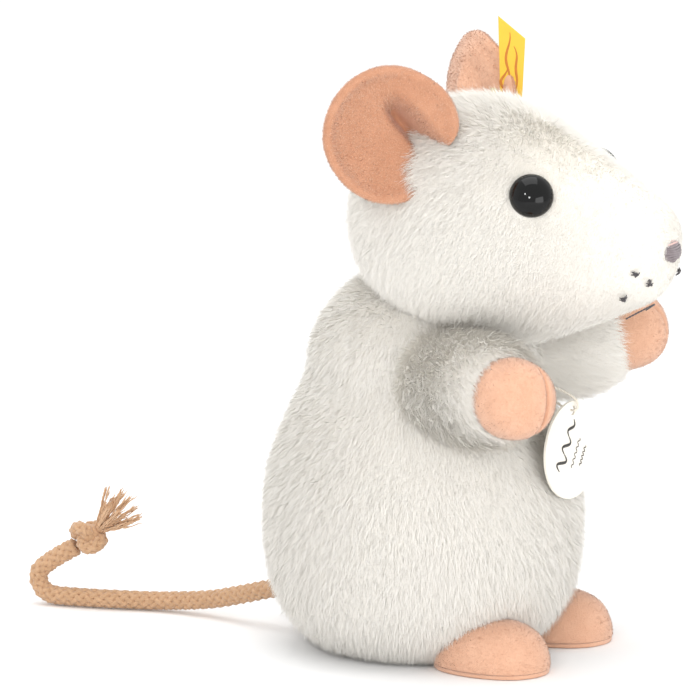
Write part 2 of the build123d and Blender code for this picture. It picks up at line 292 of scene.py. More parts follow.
DARK_THREAD = MottledFinish("dark_thread", (0.045, 0.040, 0.045), (0.11, 0.10, 0.105), cloud_scale=900.0)
NOSE_THREAD = MottledFinish("nose_thread", (0.16, 0.13, 0.14), (0.32, 0.27, 0.28), cloud_scale=700.0)
PINK_THREAD = MottledFinish("pink_thread", (0.62, 0.40, 0.38), (0.78, 0.55, 0.50), cloud_scale=900.0)
BRASS = MottledFinish(
    "button_metal", (0.62, 0.48, 0.24), (0.72, 0.58, 0.32), roughness=0.28, sheen=0.0, metallic=1.0, bump=0.00001,
)
RIBBON = MottledFinish("ribbon_weave", (0.80, 0.47, 0.03), (0.95, 0.63, 0.06), pile_scale=420.0, grain=Grain.WEAVE,
                       bump=0.0001, sheen=0.1, roughness=0.6)
RIBBON_MARK = MottledFinish("ribbon_mark", (0.52, 0.16, 0.02), (0.66, 0.24, 0.03), cloud_scale=900.0)
CARD = MottledFinish("tag_paper", (0.86, 0.81, 0.72), (0.90, 0.86, 0.78), roughness=0.45, sheen=0.0,
                     cloud_scale=120.0, bump=0.00001)
INK = MottledFinish("tag_ink", (0.02, 0.02, 0.02), (0.05, 0.045, 0.04), roughness=0.5, sheen=0.0, bump=0.00001)
LOOP_THREAD = MottledFinish("loop_thread", (0.78, 0.72, 0.62), (0.88, 0.83, 0.74), cloud_scale=900.0)
CORD_YARN = MottledFinish("cord_yarn", (0.40, 0.225, 0.115), (0.66, 0.42, 0.25), cloud_scale=900.0,
                          pile_scale=3000.0, bump=0.0002)
FRINGE_YARN = MottledFinish("fringe_yarn", (0.58, 0.35, 0.19), (0.78, 0.52, 0.32), cloud_scale=700.0)


# ---------------------------------------------------------------- mesh helpers


def smooth_outline(points: Outline, steps: int = 6) -> list[tuple[float, float]]:
    """Run a smooth curve through an outline's points.

    Args:
        points: the outline.
        steps: points made for each span.

    Returns:
        The finer outline.
    """
    ring = [points[0], *points, points[-1]]
    fine = []
    for a, b, c, d in zip(ring, ring[1:], ring[2:], ring[3:]):
        for i in range(steps):
            t = i / steps
            fine.append(tuple(
                0.5 * (2 * q + (r - p) * t + (2 * p - 5 * q + 4 * r - s) * t * t + (3 * q - p - 3 * r + s) * t**3)
                for p, q, r, s in zip(a, b, c, d)
            ))
    fine.append(tuple(points[-1]))
    return fine


def lathe(outline: Outline, matrix: Matrix, segments: int = 96) -> bmesh.types.BMesh:
    """Spin an outline about its first coordinate's axis.

    Args:
        outline: (along the axis, radius) points in millimetres.
        matrix: places the axis, its Z along the outline's first coordinate.
        segments: faces round the axis.

    Returns:
        A closed bmesh in metres with its normals outwards.
    """
    bm = bmesh.new()
    verts = [bm.verts.new((radius * MM, 0, along * MM)) for along, radius in outline]
    edges = [bm.edges.new(pair) for pair in zip(verts, verts[1:])]
    bmesh.ops.spin(
        bm, geom=verts + edges, cent=(0, 0, 0), axis=(0, 0, 1), angle=math.tau, steps=segments, use_merge=True
    )
    bmesh.ops.remove_doubles(bm, verts=bm.verts, dist=1e-6)
    bmesh.ops.transform(bm, matrix=matrix, verts=bm.verts)
    bmesh.ops.recalc_face_normals(bm, faces=bm.faces)
    return bm


def axis_matrix(origin: Point, along: Point, up: Point = (0, 0, 1)) -> Matrix:
    """Place a frame whose Z runs along a direction.

    Args:
        origin: the frame's origin in millimetres.
        along: the direction of its Z.
        up: a direction that its X leans towards.

    Returns:
        The frame's matrix, in metres.
    """
    z = Vector(along).normalized()
    x = Vector(up) - z * z.dot(Vector(up))
    x = x.normalized() if x.length > 1e-6 else z.orthogonal().normalized()
    y = z.cross(x)
    matrix = Matrix((x, y, z)).transposed().to_4x4()
    matrix.translation = Vector(origin) * MM
    return matrix


def mesh_object(name: str, bm: bmesh.types.BMesh, finish: Iterable[bpy.types.Material]) -> bpy.types.Object:
    """Turn a bmesh into a smooth shaded piece.

    Args:
        name: the piece's name.
        bm: the mesh, which is freed.
        finish: its materials.

    Returns:
        The piece.
    """
    mesh = bpy.data.meshes.new(name)
    bm.to_mesh(mesh)
    bm.free()
    mesh.polygons.foreach_set("use_smooth", [True] * len(mesh.polygons))
    piece = bpy.data.objects.new(name, mesh)
    bpy.context.scene.collection.objects.link(piece)
    for material in finish:
        mesh.materials.append(material)
    log.info("%s: %d faces", name, len(mesh.polygons))
    return piece


def sweep(points: Sequence[Vector], radii: Sequence[float], sides: int = 8) -> bmesh.types.BMesh:
    """Sweep a round section along points.

    Args:
        points: the centre line in metres.
        radii: the radius at each point in metres.
        sides: corners of the section.

    Returns:
        A closed tube.
    """
    bm = bmesh.new()
    add_sweep(bm, points, radii, sides)
    return bm


def frames_along(points: Sequence[Vector]) -> list[tuple[Vector, Vector, Vector]]:
    """Carry a frame without twist along points.

    Args:
        points: the centre line.

    Returns:
        For each point its tangent and two directions across it.
    """
    frames = []
    normal = None
    for i in range(len(points)):
        tangent = (points[min(i + 1, len(points) - 1)] - points[max(i - 1, 0)]).normalized()
        if normal is None:
            normal = tangent.cross(Vector((0, 0, 1)))
            normal = normal if normal.length > 1e-4 else tangent.orthogonal()
        normal = (normal - tangent * normal.dot(tangent)).normalized()
        frames.append((tangent, normal, tangent.cross(normal)))
    return frames


def add_sweep(bm: bmesh.types.BMesh, points: Sequence[Vector], radii: Sequence[float], sides: int = 8,
              material: int = 0) -> None:
    """Add a tube along points to a bmesh.

    Args:
        bm: the bmesh to add to.
        points: the centre line in metres.
        radii: the radius at each point in metres.
        sides: corners of the section.
        material: index of the tube's material.
    """
    rings = []
    for point, radius, (_, across, up) in zip(points, radii, frames_along(points)):
        rings.append([
            bm.verts.new(point + radius * (math.cos(a) * across + math.sin(a) * up))
            for a in (math.tau * k / sides for k in range(sides))
        ])
    faces = []
    for low, high in zip(rings, rings[1:]):
        for k in range(sides):
            faces.append(bm.faces.new((low[k], low[(k + 1) % sides], high[(k + 1) % sides], high[k])))
    faces.append(bm.faces.new(rings[0][::-1]))
    faces.append(bm.faces.new(rings[-1]))
    for face in faces:
        face.material_index = material


# ---------------------------------------------------------------- fur


@dataclass
class Coat:
    """A coat of fibres rooted on a skin.

    Lengths and widths are in metres, and lift is how far the fibres stand up, from 0, flat,
    to 1, upright.
    """

    finish: StrandFinish
    length: float
    per_mm2: float
    comb: Callable[[np.ndarray, np.ndarray], np.ndarray]
    width: float = 0.00013
    lift: float = 0.55
    untidy: float = 0.13
    swirl: float = 0.05
    seed: int = 1
    length_at: Callable[[np.ndarray], np.ndarray] | None = None
    keep: Callable[[np.ndarray], np.ndarray] | None = None
    bend: bool = True
    limit: int = 186000

    def roots(self, skin: bpy.types.Object, rng: np.random.Generator) -> tuple[np.ndarray, np.ndarray]:
        """Scatter roots evenly over the skin.

        Args:
            skin: the piece that the fibres grow on.
            rng: the source of chance.

        Returns:
            The roots and the skin's normals there.
        """
        mesh = skin.data
        mesh.calc_loop_triangles()
        corners = np.empty(len(mesh.loop_triangles) * 3, dtype=np.int64)
        mesh.loop_triangles.foreach_get("vertices", corners)
        corners = corners.reshape(-1, 3)
        places = np.empty(len(mesh.vertices) * 3)
        mesh.vertices.foreach_get("co", places)
        places = places.reshape(-1, 3)
        normals = np.empty(len(mesh.vertices) * 3)
        mesh.vertices.foreach_get("normal", normals)
        normals = normals.reshape(-1, 3)
        a, b, c = (places[corners[:, k]] for k in range(3))
        area = 0.5 * np.linalg.norm(np.cross(b - a, c - a), axis=1)
        count = int(area.sum() * 1e6 * self.per_mm2)
        pick = rng.choice(len(corners), size=count, p=area / area.sum())
        u, v = rng.random(count), rng.random(count)
        flip = u + v > 1
        u[flip], v[flip] = 1 - u[flip], 1 - v[flip]
        weights = np.stack([1 - u - v, u, v], axis=1)[:, :, None]
        at = (places[corners[pick]] * weights).sum(axis=1)
        normal = (normals[corners[pick]] * weights).sum(axis=1)
        normal /= np.linalg.norm(normal, axis=1, keepdims=True)
        if self.keep is not None:
            mask = self.keep(at)
            at, normal = at[mask], normal[mask]
        return at, normal

    def waves(self, at: np.ndarray, rng: np.random.Generator) -> np.ndarray:
        """Give neighbouring fibres a common lean, so that they gather in locks.

        Args:
            at: the roots.
            rng: the source of chance.

        Returns:
            A vector for each root, of length about one.
        """
        lean = np.zeros_like(at)
        for size in (0.012, 0.005, 0.0022):
            for _ in range(3):
                way = rng.normal(size=3)
                way *= math.tau / size / np.linalg.norm(way)
                lean += np.sin(at @ way + rng.random() * math.tau)[:, None] * rng.normal(size=3)
        return lean / 3.0

    def grow(self, skin: bpy.types.Object, name: str, body: str) -> list[bpy.types.Object]:
        """Grow the coat.

        Args:
            skin: the piece that the fibres grow on.
            name: start of the names of the pieces of fur.
            body: the body that the fur rides on.

        Returns:
            The pieces of fur.
        """
        rng = np.random.default_rng(self.seed)
        at, normal = self.roots(skin, rng)
        count = len(at)
        comb = self.comb(at, normal)
        comb = comb - normal * (comb * normal).sum(axis=1, keepdims=True)
        comb /= np.maximum(np.linalg.norm(comb, axis=1, keepdims=True), 1e-9)
        lean = self.waves(at, rng) * self.swirl + rng.normal(size=(count, 3)) * self.untidy
        length = self.length * rng.uniform(0.7, 1.1, size=count)
        if self.length_at is not None:
            length = length * self.length_at(at)
        length = length[:, None]
        rise = self.lift
        first = normal * (0.35 + rise) + comb * (1 - rise) * 0.9 + lean * 0.6
        first /= np.linalg.norm(first, axis=1, keepdims=True)
        second = normal * rise * 0.9 + comb * (1.15 - rise) + lean
        second /= np.linalg.norm(second, axis=1, keepdims=True)
        root = at - normal * 0.0002
        middle = root + first * length * 0.5
        tip = middle + second * length * 0.5
        for place in (root, middle, tip):
            place[:, 2] = np.maximum(place[:, 2], FLOOR_CLEAR)
        across = np.cross(second, normal)
        across /= np.maximum(np.linalg.norm(across, axis=1, keepdims=True), 1e-9)
        out = np.cross(across, second)
        turn = rng.uniform(-0.8, 0.8, size=(count, 1))
        wide = (across * np.cos(turn) + out * np.sin(turn)) * self.width * 0.5
        facing = np.cross(wide, second)
        facing *= np.sign((facing * normal).sum(axis=1, keepdims=True))
        facing /= np.maximum(np.linalg.norm(facing, axis=1, keepdims=True), 1e-12)
        shade = normal + facing * 0.08 + lean * 0.08
        shade /= np.linalg.norm(shade, axis=1, keepdims=True)
        if self.bend:
            verts = np.stack([root - wide, root + wide, middle - wide * 0.8, middle + wide * 0.8, tip], axis=1)
            shape = np.array([[0, 1, 3], [0, 3, 2], [2, 3, 4]])
        else:
            verts = np.stack([root - wide, root + wide, tip], axis=1)
            shape = np.array([[0, 1, 2]])
        order = np.argsort(at[:, 2], kind="stable")
        tints = rng.integers(0, len(self.finish.tints), size=count)
        finish = self.finish.build() if self.finish.name not in STRAND_MATERIALS else None
        materials = STRAND_MATERIALS.setdefault(self.finish.name, finish)
        pieces = []
        parts = max(1, math.ceil(count * len(shape) / self.limit))
        for i, chunk in enumerate(np.array_split(order, parts)):
            label = f"{name}_{i + 1}" if parts > 1 else name
            pieces.append(strand_object(label, verts[chunk], shape, shade[chunk], tints[chunk], materials))
            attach(pieces[-1], body)
        return pieces


STRAND_MATERIALS: dict[str, list[bpy.types.Material]] = {}


def strand_object(name: str, verts: np.ndarray, shape: np.ndarray, shade: np.ndarray, tints: np.ndarray,
                  materials: Sequence[bpy.types.Material]) -> bpy.types.Object:
    """Make one piece from many small fibres.

    Args:
        name: the piece's name.
        verts: corners of each fibre.
        shape: the triangles of one fibre.
        shade: the normal that each fibre is shaded with.
        tints: index of each fibre's material.
        materials: the materials.

    Returns:
        The piece.
    """
    count, corners = verts.shape[:2]
    faces = (np.arange(count)[:, None, None] * corners + shape[None]).reshape(-1)
    triangles = len(faces) // 3
    mesh = bpy.data.meshes.new(name)
    mesh.vertices.add(count * corners)
    mesh.vertices.foreach_set("co", verts.reshape(-1))
    mesh.loops.add(len(faces))
    mesh.loops.foreach_set("vertex_index", faces)
    mesh.polygons.add(triangles)
    mesh.polygons.foreach_set("loop_start", np.arange(triangles) * 3)
    mesh.polygons.foreach_set("material_index", np.repeat(tints, len(shape)))
    for material in materials:
        mesh.materials.append(material)
    mesh.update()
    mesh.polygons.foreach_set("use_smooth", np.ones(triangles, dtype=bool))
    mesh.normals_split_custom_set_from_vertices(np.repeat(shade, corners, axis=0).tolist())
    piece = bpy.data.objects.new(name, mesh)
    bpy.context.scene.collection.objects.link(piece)
    log.info("%s: %d fibres", name, count)
    return piece


def fuzz(comb: Callable[[np.ndarray, np.ndarray], np.ndarray], seed: int, length: float = 0.0006,
         finish: StrandFinish = VELOUR) -> Coat:
    """Return the short dense pile of the velour."""
    return Coat(finish, length=length, per_mm2=13.0, comb=comb, width=0.00016, lift=0.8, untidy=0.45,
                swirl=0.1, seed=seed, bend=False)


# ---------------------------------------------------------------- places shared by the pieces

NECK = (-1.0, 0.0, 65.5)
HEAD_BACK = (-16.0, 0.0, 107.0)
HEAD_WAY = (math.cos(math.radians(5.5)), 0.0, -math.sin(math.radians(5.5)))
HEAD_OUTLINE = (
    (-0.3, 0.0), (2.3, 11.2), (8.0, 19.2), (17.0, 25.7), (28.0, 28.3), (39.0, 27.6), (50.0, 24.4), (60.0, 20.0),
    (70.0, 14.9), (75.0, 11.9), (77.4, 8.9), (78.6, 4.8), (78.9, 0.0),
)
EYE = (35.1, 20.1, 114.2)
EYE_LOOK = (0.42, 0.80, 0.43)
NOSE = (61.9, 0.0, 100.4)
SHOULDER = (14.0, 21.0, 69.0)
ARM_TURN = math.radians(31.0)
ARM_RISE = {"left": math.radians(9.0), "right": 0.0}


def mirrored(place: Point, side: float) -> Point:
    """Return a place on the mouse's left, or the same one on its right."""
    return (place[0], place[1] * side, place[2])


def smooth_step(value: float) -> float:
    """Return a smooth rise from 0 to 1 as the value goes from 0 to 1."""
    t = min(max(value, 0.0), 1.0)
    return t * t * (3.0 - 2.0 * t)


def clear_of(at: np.ndarray, place: Point, radius: float) -> np.ndarray:
    """Tell which points are further than a radius from a place.

    Args:
        at: the points in metres.
        place: the place in millimetres.
        radius: the radius in millimetres.

    Returns:
        A mask.
    """
    return np.linalg.norm(at - np.array(place) * MM, axis=1) > radius * MM


def beyond_head(at: np.ndarray) -> np.ndarray:
    """Tell which points lie outside the head's cover."""
    away = at / MM - np.array(HEAD_BACK)
    along = away @ np.array(HEAD_WAY)
    across = np.linalg.norm(away - along[:, None] * np.array(HEAD_WAY), axis=1)
    reach = np.interp(along, [place for place, _ in HEAD_OUTLINE], [radius for _, radius in HEAD_OUTLINE], 0.0, 0.0)
    return across > reach - 1.5


def combed(way: Point) -> Callable[[np.ndarray, np.ndarray], np.ndarray]:
    """Return a comb that lays every fibre the same way."""
    return lambda at, normal: np.broadcast_to(np.array(way), at.shape)


def dress(node: str, finish: bpy.types.Material, slot: str) -> None:
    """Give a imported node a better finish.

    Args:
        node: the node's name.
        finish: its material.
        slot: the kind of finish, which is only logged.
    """
    piece = NODES[node]
    piece.data.materials.clear()
    piece.data.materials.append(finish)
    log.info("%s: dressed as %s", node, slot)


def settle(piece: bpy.types.Object, body: str, slot: str, *nodes: str) -> bpy.types.Object:
    """Let a piece ride on a body, and stand for nodes.

    Args:
        piece: the piece.
        body: the body's name.
        slot: not used.
        nodes: the nodes that it replaces.

    Returns:
        The piece.
    """
    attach(piece, body)
    if nodes:
        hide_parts(*nodes)
    return piece


# ---------------------------------------------------------------- studio


@dataclass
class Studio:
    """Camera, lights, floor and world, in millimetres and degrees."""

    target: Point = (-22.2, 4.8, 68.9)
    azimuth: float = 24.0
    elevation: float = 11.0
    distance: float = 2600.0
    width_at_target: float = 166.7
    sensor: float = 36.0
    sky: float = 1.0

    def camera(self) -> None:
        """Place the camera."""
        turn, tilt = math.radians(self.azimuth), math.radians(self.elevation)
        away = Vector((math.sin(turn) * math.cos(tilt), -math.cos(turn) * math.cos(tilt), math.sin(tilt)))
        data = bpy.data.cameras.new("camera")
        data.sensor_width = self.sensor
        data.lens = self.sensor * self.distance / self.width_at_target
        data.clip_end = 20.0
        view = bpy.data.objects.new("camera", data)
        bpy.context.scene.collection.objects.link(view)
        view.location = (Vector(self.target) + away * self.distance) * MM
        view.rotation_euler = away.to_track_quat("Z", "Y").to_euler()
        bpy.context.scene.camera = view

    def light(self, name: str, place: Point, size: float, watts: float) -> None:
        """Place one soft light that looks at the target.

        Args:
            name: its name.
            place: where it is, in millimetres.
            size: the length of its side in millimetres.
            watts: its power.
        """
        data = bpy.data.lights.new(name, "AREA")
        data.shape = "SQUARE"
        data.size = size * MM
        data.energy = watts
        lamp = bpy.data.objects.new(name, data)
        bpy.context.scene.collection.objects.link(lamp)
        lamp.location = Vector(place) * MM
        lamp.rotation_euler = (Vector(place) - Vector(self.target)).to_track_quat("Z", "Y").to_euler()

    def build(self) -> None:
        """Make the whole studio."""
        self.camera()
        self.light("low_light", (760.0, -420.0, 60.0), 520.0, 2.6)
        for i, place in enumerate(((360.0, -980.0, 420.0), (20.0, -960.0, 640.0))):
            self.light(f"spark_light_{i + 1}", place, 110.0, 1.5)
        self.light("fill_light", (-900.0, -700.0, 420.0), 900.0, 0.4)
        self.light("top_light", (-60.0, 60.0, 1150.0), 900.0, 4.4)
        world = bpy.data.worlds.new("white_room")
        world.use_nodes = True
        world.node_tree.nodes["Background"].inputs["Color"].default_value = (1.0, 1.0, 1.0, 1.0)
        world.node_tree.nodes["Background"].inputs["Strength"].default_value = self.sky
        bpy.context.scene.world = world
        bpy.context.scene.view_settings.view_transform = "Standard"
        bm = bmesh.new()
        bmesh.ops.create_grid(bm, x_segments=2, y_segments=2, size=4.0)
        floor = mesh_object("floor", bm, [new_material("floor_white", {
            "Base Color": (0.95, 0.95, 0.95, 1.0), "Roughness": 0.9, "Specular IOR Level": 0.0,
        })])


# ---------------------------------------------------------------- tail and threads


def follow(route: Sequence[Point], spacing: float) -> list[Vector]:
    """Run a smooth line along a route and return even points on it.

    Args:
        route: corners in millimetres.
        spacing: distance between the points in metres.

    Returns:
        The points, in metres.
    """
    curve = bpy.data.curves.new("line", "CURVE")
    curve.dimensions = "3D"
    spline = curve.splines.new("NURBS")
    spline.points.add(len(route) - 1)
    for point, place in zip(spline.points, route):
        point.co = (*(v * MM for v in place), 1.0)
    spline.order_u = 3
    spline.use_endpoint_u = True
    spline.resolution_u = 24
    line = bpy.data.objects.new("line", curve)
    mesh = bpy.data.meshes.new_from_object(line)
    points = [v.co.copy() for v in mesh.vertices]
    bpy.data.objects.remove(line)
    bpy.data.meshes.remove(mesh)
    return even(points, spacing)


def even(points: Sequence[Vector], spacing: float) -> list[Vector]:
    """Return points at even steps along a line.

    Args:
        points: the line.
        spacing: about the distance between the new points.

    Returns:
        The new points, with the same ends.
    """
    places = np.array([list(p) for p in points])
    run = np.concatenate([[0.0], np.cumsum(np.linalg.norm(np.diff(places, axis=0), axis=1))])
    count = max(2, round(run[-1] / spacing) + 1)
    at = np.linspace(0.0, run[-1], count)
    return [Vector(tuple(np.interp(v, run, places[:, k]) for k in range(3))) for v in at]


def braid(name: str, points: Sequence[Vector], radius: float, strand: float, count: int, pitch: float,
          finish: bpy.types.Material, both_ways: bool = True) -> bpy.types.Object:
    """Plait round strands about a line.

    Args:
        name: the piece's name.
        points: even points of the line, in metres.
        radius: distance of the strands' middles from the line.
        strand: radius of one strand.
        count: strands that run each way.
        pitch: length of one turn.
        finish: the material.
        both_ways: plaited, or only twisted one way.

    Returns:
        The piece.
    """
    step = (points[1] - points[0]).length
    frames = frames_along(points)
    bm = bmesh.new()
    for way in (1.0, -1.0) if both_ways else (1.0,):
        for k in range(count):
            places = []
            for i, (point, (_, across, up)) in enumerate(zip(points, frames)):
                turn = math.tau * (k / count + way * i * step / pitch)
                wave = way * 0.45 * strand * math.cos(math.tau * count * i * step / pitch) if both_ways else 0.0
                reach = radius + wave
                places.append(point + reach * (math.cos(turn) * across + math.sin(turn) * up))
            add_sweep(bm, places, [strand] * len(places), sides=6)
    return mesh_object(name, bm, [finish])


@dataclass
class Tail:
    """Braided tail that lies on the ground, its knot and its frayed end, in millimetres."""

    route: tuple[Point, ...] = (
        (-33.4, 0.0, 11.6), (-41.0, 1.9, 9.9), (-50.0, 4.7, 7.0), (-60.0, 7.7, 4.1), (-73.0, 8.8, 2.45),
        (-86.0, 5.6, 2.45), (-95.6, 4.2, 2.45), (-102.0, 3.9, 2.45), (-104.7, 4.2, 5.4), (-104.6, 4.7, 9.3),
        (-95.4, 6.2, 14.5),
    )
    diameter: float = 4.9
    strand: float = 0.70
    strands: int = 6
    pitch: float = 15.0
    knot: Point = (-92.0, 6.9, 17.0)
    knot_size: float = 1.22
    knot_tilt: float = 35.0
    fringe_tip: Point = (-82.8, 7.6, 25.6)
    bundles: int = 13
    yarns: int = 16

    def make_knot(self, finish: bpy.types.Material) -> bpy.types.Object:
        """Tie the knot as a tight loop of the same plait.

        Args:
            finish: the cord's material.

        Returns:
            The knot.
        """
        turn = Matrix.Rotation(math.radians(self.knot_tilt), 4, "Y") @ Matrix.Rotation(0.9, 4, "Z")
        path = []
        for i in range(181):
            t = math.tau * i / 180
            place = Vector((math.sin(t) + 2 * math.sin(2 * t), math.cos(t) - 2 * math.cos(2 * t), -1.25 * math.sin(3 * t)))
            path.append((turn @ place) * self.knot_size * MM + Vector(self.knot) * MM)
        plait = braid("tail_knot_plait", even(path, 0.5 * MM), 0.95 * MM, 0.66 * MM, 4, 8.0 * MM, finish)
        bm = bmesh.new()
        bm.from_mesh(plait.data)
        bmesh.ops.create_icosphere(bm, subdivisions=3, radius=3.1 * MM, matrix=Matrix.Translation(Vector(self.knot) * MM))
        bm.to_mesh(plait.data)
        bm.free()
        return plait

    def make_fringe(self, finish: bpy.types.Material) -> bpy.types.Object:
        """Fray the end into bundles of fine yarn.

        Args:
            finish: the yarn's material.

        Returns:
            The frayed end.
        """
        rng = np.random.default_rng(41)
        start, tip = Vector(self.knot), Vector(self.fringe_tip)
        place = axis_matrix((0, 0, 0), tip - start).to_3x3()
        run = (tip - start).length
        bm = bmesh.new()
        for k in range(self.bundles):
            turn = 2.4 * k
            spread = 0.46 * math.sqrt((k + 0.5) / self.bundles)
            reach = run * rng.uniform(0.82, 1.04)
            curl = rng.normal(size=2) * 0.8
            for _ in range(self.yarns):
                loose = rng.normal(size=3) * (0.28, 0.28, 0.5)
                points = []
                frizz = rng.uniform(0.0, math.tau, size=2)
                for i in range(13):
                    t = i / 12
                    out = 0.6 + spread * reach * t + 0.5 * t * t
                    shift = 0.4 + 0.9 * t * t
                    points.append(start * MM + place @ Vector((
                        math.cos(turn) * out + loose[0] * shift + curl[0] * t * t + 0.16 * math.sin(17 * t + frizz[0]),
                        math.sin(turn) * out + loose[1] * shift + curl[1] * t * t + 0.16 * math.sin(15 * t + frizz[1]),
                        2.6 + (reach - 2.6 + loose[2]) * t,
                    )) * MM)
                add_sweep(bm, points, [0.12 * MM] * 12 + [0.05 * MM], sides=4)
        return mesh_object("tail_frayed_end", bm, [finish])

    def build(self) -> None:
        """Make the tail, its knot and its frayed end."""
        points = follow(self.route, 0.62 * MM)
        cord_look, fringe_look = CORD_YARN.build(), FRINGE_YARN.build()
        middle = (self.diameter / 2 - self.strand * 1.45) * MM
        cord = braid("tail_plait", points, middle, self.strand * MM, self.strands, self.pitch * MM, cord_look)
        settle(cord, "tail", "cord", "tail_cord")
        knot = settle(self.make_knot(cord_look), "tail", "cord", "tail_knot")
        fringe = settle(self.make_fringe(fringe_look), "tail", "cord", "tail_fringe")


# ---------------------------------------------------------------- body and head


@dataclass
class Body:
    """Body cover with its long pile and the base under it, in millimetres."""

    outline: Outline = (
        (1.7, 0.0), (1.7, 12.0), (2.0, 22.6), (7.0, 29.5), (15.0, 34.0), (25.0, 35.9), (35.0, 36.1), (45.0, 34.7),
        (55.0, 31.3), (65.5, 26.8), (74.0, 25.4), (82.0, 21.2), (88.5, 13.5), (92.2, 0.0),
    )
    middle: float = -1.0
    pile: float = 4.8
    per_mm2: float = 16.0
    top_per_mm2: float = 5.0

    def build(self) -> None:
        """Make the body."""
        matrix = axis_matrix((self.middle, 0.0, 0.0), (0, 0, 1), (1, 0, 0))
        skin = mesh_object("body_cover", lathe(smooth_outline(self.outline, 5), matrix), [FUR_SKIN.build()])
        settle(skin, "torso", "fur", "body_side_left", "body_side_right")
        rim = [(0.3, 0.0), (0.3, 20.6), (0.7, 21.8), (1.2, 21.8), (1.5, 20.6), (1.5, 0.0)]
        base = mesh_object("base_cloth", lathe(rim, matrix, 64), [VELOUR_SKIN_PALE.build()])
        settle(base, "torso", "fur", "base_panel")

        def keep(at: np.ndarray) -> np.ndarray:
            mask = beyond_head(at)
            for side in SIDES.values():
                mask &= clear_of(at, mirrored(SHOULDER, side), 8.0)
            return mask & (at[:, 2] > 2.0 * MM)

        def length_at(at: np.ndarray) -> np.ndarray:
            return np.interp(at[:, 2] / MM, [8.0, 20.0, 45.0, 62.0], [0.8, 0.9, 0.9, 0.72])

        down = combed((0.05, 0.0, -1.0))
        under = Coat(FUR, self.pile * MM, self.per_mm2, down, width=0.00011, lift=0.30, seed=3, bend=False,
                     length_at=length_at, keep=keep)
        top = Coat(FUR, self.pile * 1.1 * MM, self.top_per_mm2, down, width=0.00011, lift=0.42, untidy=0.2,
                   swirl=0.07, seed=4, length_at=length_at, keep=keep)
        for coat, label in ((under, "body_fur"), (top, "body_top_fur")):
            for piece in coat.grow(skin, label, "torso"):
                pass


@dataclass
class Head:
    """Head cover with a pile that shortens towards the nose, in millimetres."""

    outline: Outline = HEAD_OUTLINE
    brow_drop: float = 1.3
    pile: float = 4.0
    per_mm2: float = 20.0
    top_per_mm2: float = 6.0

    def flatten_brow(self, bm: bmesh.types.BMesh) -> None:
        """Lower the top of the head between the eyes and the nose.

        Args:
            bm: the head's cover.
        """
        for vert in bm.verts:
            away = vert.co / MM - Vector(HEAD_BACK)
            along = away.dot(Vector(HEAD_WAY))
            rise = smooth_step((away - Vector(HEAD_WAY) * along).z / 12.0)
            vert.co.z -= self.brow_drop * rise * smooth_step((along - 36.0) / 18.0) * MM

    def build(self) -> None:
        """Make the head."""
        matrix = axis_matrix(HEAD_BACK, HEAD_WAY)
        bm = lathe(smooth_outline(self.outline, 6), matrix, 112)
        self.flatten_brow(bm)
        skin = mesh_object("head_cover", bm, [FUR_SKIN.build()])
        settle(skin, "head", "fur", "head_side_left", "head_side_right", "head_gusset")
        way = np.array(HEAD_WAY)
        back = np.array(HEAD_BACK) * MM

        def length_at(at: np.ndarray) -> np.ndarray:
            along = (at - back) @ way / MM
            top = np.clip((at[:, 2] / MM - 106.0) / 10.0, 0.0, 1.0)
            share = np.interp(along, [0.0, 36.0, 52.0, 68.0, 80.0], [1.0, 1.0, 0.72, 0.4, 0.26])
            return share * (1.0 - 0.35 * top * np.clip((along - 36.0) / 14.0, 0.0, 1.0))

        def keep(at: np.ndarray) -> np.ndarray:
            mask = clear_of(at, NOSE, 2.6) & clear_of(at, NECK, 24.5)
            for side in SIDES.values():
                mask &= clear_of(at, mirrored(EYE, side), 5.0)
            return mask

        back_down = combed((-0.5, 0.0, -1.0))
        under = Coat(FUR, self.pile * MM, self.per_mm2, back_down, width=0.0001, lift=0.28, seed=5, bend=False,
                     length_at=length_at, keep=keep)
        top = Coat(FUR, self.pile * 1.1 * MM, self.top_per_mm2, back_down, width=0.0001, lift=0.40, untidy=0.2,
                   swirl=0.07, seed=6, length_at=length_at, keep=keep)
        for coat, label in ((under, "head_fur"), (top, "head_top_fur")):
            for piece in coat.grow(skin, label, "head"):
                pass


@dataclass
class Face:
    """Eyes, stitched nose and mouth, and the whisker dots, in millimetres."""

    eye_outline: Outline = (
        (-1.2, 0.0), (-1.2, 4.6), (0.2, 5.1), (1.4, 5.2), (2.6, 4.75), (3.7, 3.75), (4.5, 2.3), (4.85, 0.9), (4.9, 0.0),
    )
    nose_radii: Point = (1.9, 4.3, 2.7)
    spots: tuple[Point, ...] = ((58.0, 12.1, 96.3), (54.9, 11.1, 90.0), (60.4, 8.5, 93.7))
    mouth: tuple[Point, ...] = ((53.4, -6.2, 84.2), (56.2, -3.4, 85.9), (58.4, 0.0, 87.2), (56.2, 3.4, 85.9),
                                (53.4, 6.2, 84.2))
    thread: float = 0.28

    def eyes(self) -> None:
        """Make the two glossy eyes."""
        gloss = EYE_GLOSS.build()
        for name, side in SIDES.items():
            matrix = axis_matrix(mirrored(EYE, side), mirrored(EYE_LOOK, side))
            bm = lathe(smooth_outline(self.eye_outline, 5), matrix, 48)
            settle(mesh_object(f"eye_dome_{name}", bm, [gloss]), "head", "eye", f"eye_{name}")

